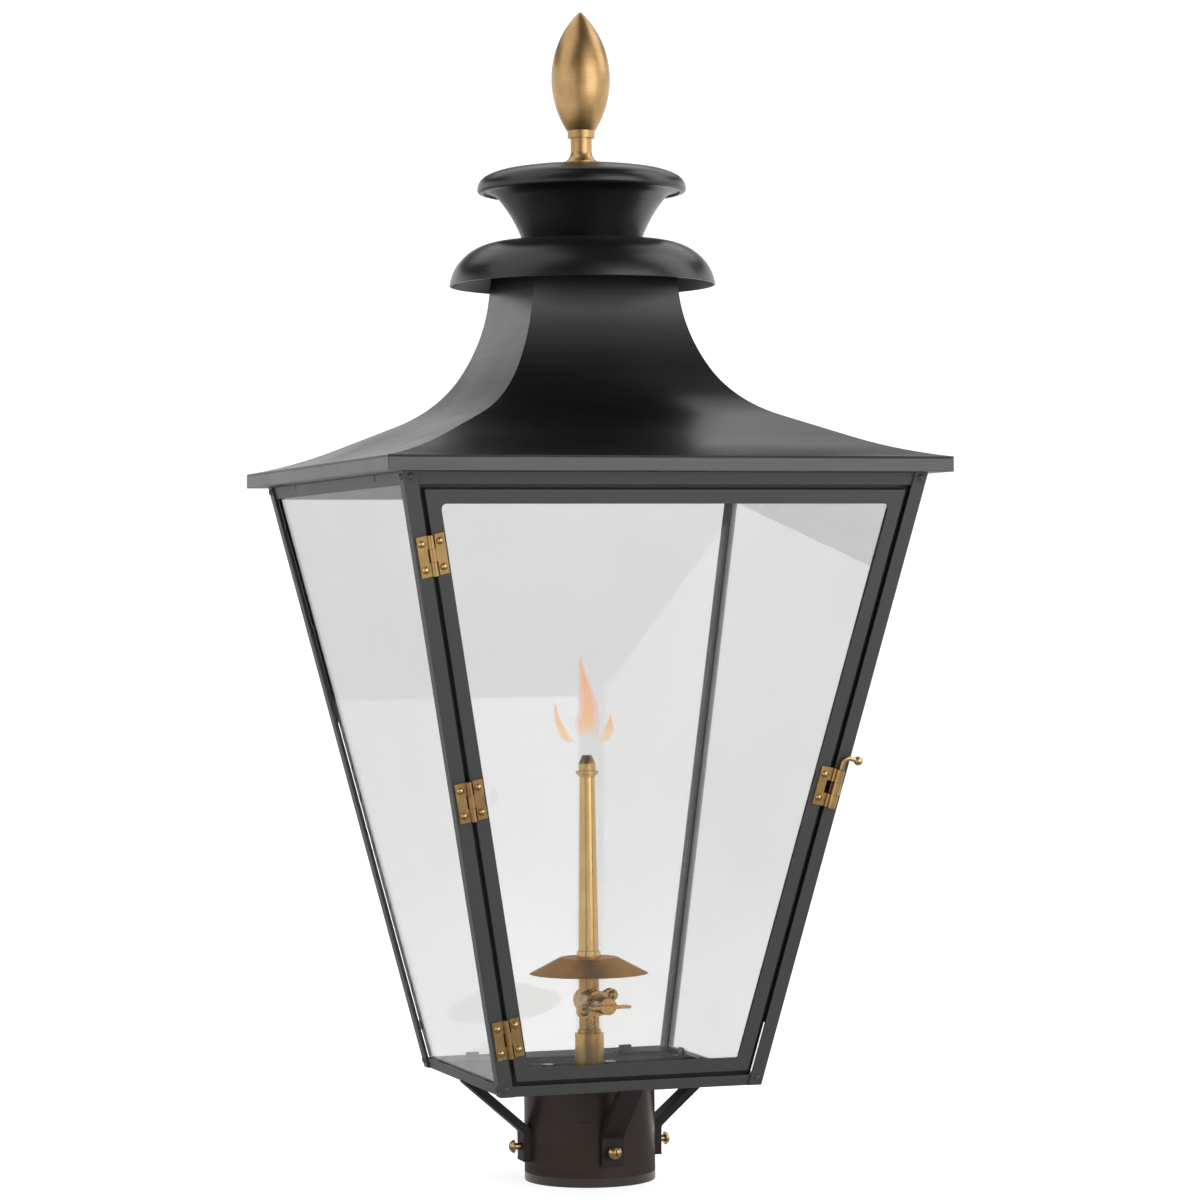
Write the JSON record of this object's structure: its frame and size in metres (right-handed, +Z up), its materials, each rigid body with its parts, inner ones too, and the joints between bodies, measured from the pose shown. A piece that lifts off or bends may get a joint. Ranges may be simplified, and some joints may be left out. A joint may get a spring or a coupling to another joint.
{
  "type": "post top lantern",
  "caption": "Square tapered glazed gas lantern on a round post collar, with a hinged door, curved roof, vented hood, flared cap and turned brass finial.",
  "frame": {"origin": "centre of the post collar's open lower end", "axes": "+Z up along the post, -Y out of the door, +X to the right of someone facing the door"},
  "size_m": [0.381, 0.381, 0.7943],
  "materials": {
    "satin_black": "satin",
    "roof_black": "satin",
    "dark_bronze": "satin",
    "clear_glass": "gloss",
    "burner_brass": "satin",
    "hardware_brass": "satin",
    "screw_brass": "satin",
    "finial_brass": "satin",
    "plated_steel": "satin"
  },
  "bodies": {
    "lantern": {"base_plate": "satin_black", "bottom_rail_back": "satin_black", "bottom_rail_front": "satin_black", "bottom_rail_left": "satin_black", "bottom_rail_right": "satin_black", "brass_rivets_leg": "hardware_brass", "burner_dish": "burner_brass", "burner_tip": "burner_brass", "burner_tube": "burner_brass", "collar_bolts": "plated_steel", "corner_leg_back_left": "satin_black", "corner_leg_back_right": "satin_black", "corner_leg_front_left": "satin_black", "corner_leg_front_right": "satin_black", "door_stop": "satin_black", "eave_frame": "satin_black", "finial": "finial_brass", "finial_bolt": "plated_steel", "flared_neck": "roof_black", "frame_rivets": "satin_black", "glass_back": "clear_glass", "glass_left": "clear_glass", "glass_right": "clear_glass", "glass_tabs": "plated_steel", "hinge_frame_leaves": "hardware_brass", "hinge_pins": "hardware_brass", "inlet_coupling": "burner_brass", "inlet_nut": "plated_steel", "latch_keeper": "hardware_brass", "post_collar": "dark_bronze", "roof_panel_back": "roof_black", "roof_panel_front": "roof_black", "roof_panel_left": "roof_black", "roof_panel_right": "roof_black", "support_arm_back": "dark_bronze", "support_arm_front": "dark_bronze", "support_arm_left": "dark_bronze", "support_arm_right": "dark_bronze", "top_cap": "roof_black", "top_rail_back": "satin_black", "top_rail_front": "satin_black", "top_rail_left": "satin_black", "top_rail_right": "satin_black", "valve_body": "burner_brass", "valve_bonnet": "burner_brass", "valve_screws": "burner_brass", "vent_bridge": "plated_steel", "vent_hood": "roof_black"},
    "door": {"door_frame": "satin_black", "door_glass": "clear_glass", "door_tabs": "plated_steel", "hinge_door_leaves": "hardware_brass", "brass_rivets_door": "hardware_brass", "latch_leaf": "hardware_brass"},
    "latch_pin": {"latch_pin": "hardware_brass"},
    "valve_key": {"valve_key": "burner_brass"},
    "post_screw_right": {"post_screw_right": "screw_brass"},
    "post_screw_back": {"post_screw_back": "screw_brass"},
    "post_screw_left": {"post_screw_left": "screw_brass"},
    "post_screw_front": {"post_screw_front": "screw_brass"}
  },
  "joints": [
    {"name": "door_swing", "type": "hinge", "parent": "lantern", "child": "door", "pos_m": [-0.12203, -0.1344, 0.26611], "axis": [0.2053, 0.2053, -0.9569], "range_deg": [0, 105]},
    {"name": "latch_pin_lift", "type": "slide", "parent": "lantern", "child": "latch_pin", "axis": [0.2053, -0.2053, 0.9569], "range_m": [0, 0.027]},
    {"name": "valve_turn", "type": "hinge", "parent": "lantern", "child": "valve_key", "pos_m": [0, -0.04, 0.1213], "axis": [0, -1, 0], "range_deg": [0, 90]},
    {"name": "post_screw_right_in", "type": "slide", "parent": "lantern", "child": "post_screw_right", "axis": [-1, 0, 0], "range_m": [0, 0.0045]},
    {"name": "post_screw_back_in", "type": "slide", "parent": "lantern", "child": "post_screw_back", "axis": [0, -1, 0], "range_m": [0, 0.0045]},
    {"name": "post_screw_left_in", "type": "slide", "parent": "lantern", "child": "post_screw_left", "axis": [1, 0, 0], "range_m": [0, 0.0045]},
    {"name": "post_screw_front_in", "type": "slide", "parent": "lantern", "child": "post_screw_front", "axis": [0, 1, 0], "range_m": [0, 0.0045]}
  ]
}
